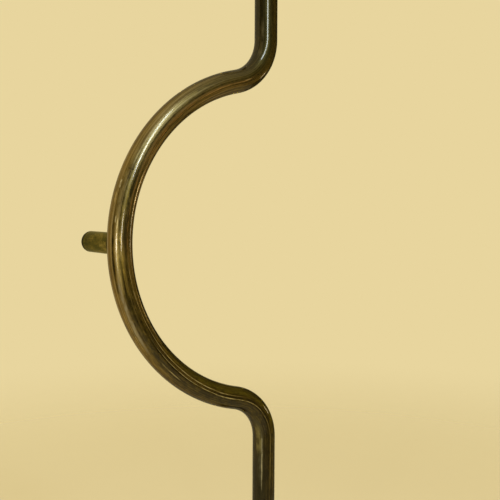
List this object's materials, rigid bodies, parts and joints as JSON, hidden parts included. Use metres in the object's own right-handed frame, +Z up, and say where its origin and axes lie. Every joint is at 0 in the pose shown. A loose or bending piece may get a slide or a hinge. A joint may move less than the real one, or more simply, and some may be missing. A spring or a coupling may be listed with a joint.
{
  "type": "tubular door pull handle",
  "caption": "Bent round-tube door pull: a straight grip that bows sideways into a half ring, held off the door on coped posts with concealed bolt-through fixings.",
  "frame": {"origin": "on the door's face at mid height, on the line of the straight runs, half way between the end fixings", "axes": "+Z up along the straight runs, +Y into the door, -Y out towards the hand, -X towards the half ring's bow"},
  "size_m": [0.2, 0.0825, 0.9],
  "materials": {
    "aged_brass": "dark brown-olive patina over drawn brass, semi-gloss, rubbed brighter on the grip",
    "plain_brass": "turned, unpolished",
    "screw_steel": "black oxide",
    "spigot_steel": "turned, zinc plated",
    "dark_washer": "matt vulcanised fibre"
  },
  "bodies": {
    "root": {"bent_tube": "aged_brass", "top_end_cap": "aged_brass", "bottom_end_cap": "aged_brass", "top_post": "aged_brass", "top_tube_boss": "plain_brass", "top_post_screw": "screw_steel", "top_spigot": "spigot_steel", "top_grub_screw": "screw_steel", "top_base_washer": "dark_washer", "middle_post": "aged_brass", "middle_tube_boss": "plain_brass", "middle_post_screw": "screw_steel", "middle_spigot": "spigot_steel", "middle_grub_screw": "screw_steel", "middle_base_washer": "dark_washer", "bottom_post": "aged_brass", "bottom_tube_boss": "plain_brass", "bottom_post_screw": "screw_steel", "bottom_spigot": "spigot_steel", "bottom_grub_screw": "screw_steel", "bottom_base_washer": "dark_washer"}
  },
  "joints": []
}
